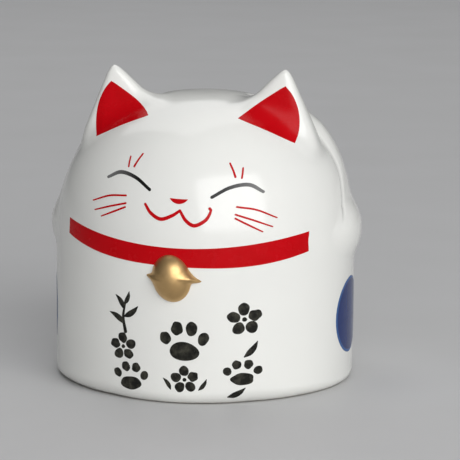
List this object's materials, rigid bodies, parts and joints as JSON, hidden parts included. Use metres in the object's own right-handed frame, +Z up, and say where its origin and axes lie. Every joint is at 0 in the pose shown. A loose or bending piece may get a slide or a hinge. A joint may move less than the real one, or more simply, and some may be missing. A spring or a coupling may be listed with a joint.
{
  "type": "beckoning cat coin bank",
  "caption": "Hollow round ceramic cat with raised paws, smiling face, red collar, gold bell, coin slot at the back of the head and a stopper in the base.",
  "frame": {"origin": "centre of the footprint box, on the plane that the foot ring stands on", "axes": "+Z up, -Y towards the cat's front, +X towards the cat's left"},
  "size_m": [0.112, 0.1106, 0.111],
  "materials": {
    "white_glaze": "gloss glaze over white stoneware, bare on the foot ring",
    "gold_lustre": "satin gold lustre",
    "red_enamel": "gloss fired-on transfer",
    "black_enamel": "gloss fired-on transfer",
    "blue_enamel": "gloss fired-on transfer with a lighter rim",
    "stopper_rubber": "matt soft plastic, slightly milky"
  },
  "bodies": {
    "cat": {"body_shell": "white_glaze", "ear_left": "white_glaze", "ear_right": "white_glaze", "arm_left": "white_glaze", "arm_right": "white_glaze", "bell": "gold_lustre", "collar": "red_enamel", "nose": "red_enamel", "mouth": "red_enamel", "eye_left": "black_enamel", "eye_right": "black_enamel", "brow_marks_left": "red_enamel", "brow_marks_right": "red_enamel", "whiskers_left": "red_enamel", "whiskers_right": "red_enamel", "ear_lining_left": "red_enamel", "ear_lining_right": "red_enamel", "flank_spot_left": "blue_enamel", "flank_spot_right": "blue_enamel", "ink_left": "black_enamel", "ink_centre": "black_enamel", "ink_right": "black_enamel"},
    "plug": {"stopper": "stopper_rubber"}
  },
  "joints": [
    {"name": "stopper_pull", "type": "slide", "parent": "cat", "child": "plug", "axis": [0, 0, -1], "range_m": [0, 0.03]}
  ]
}
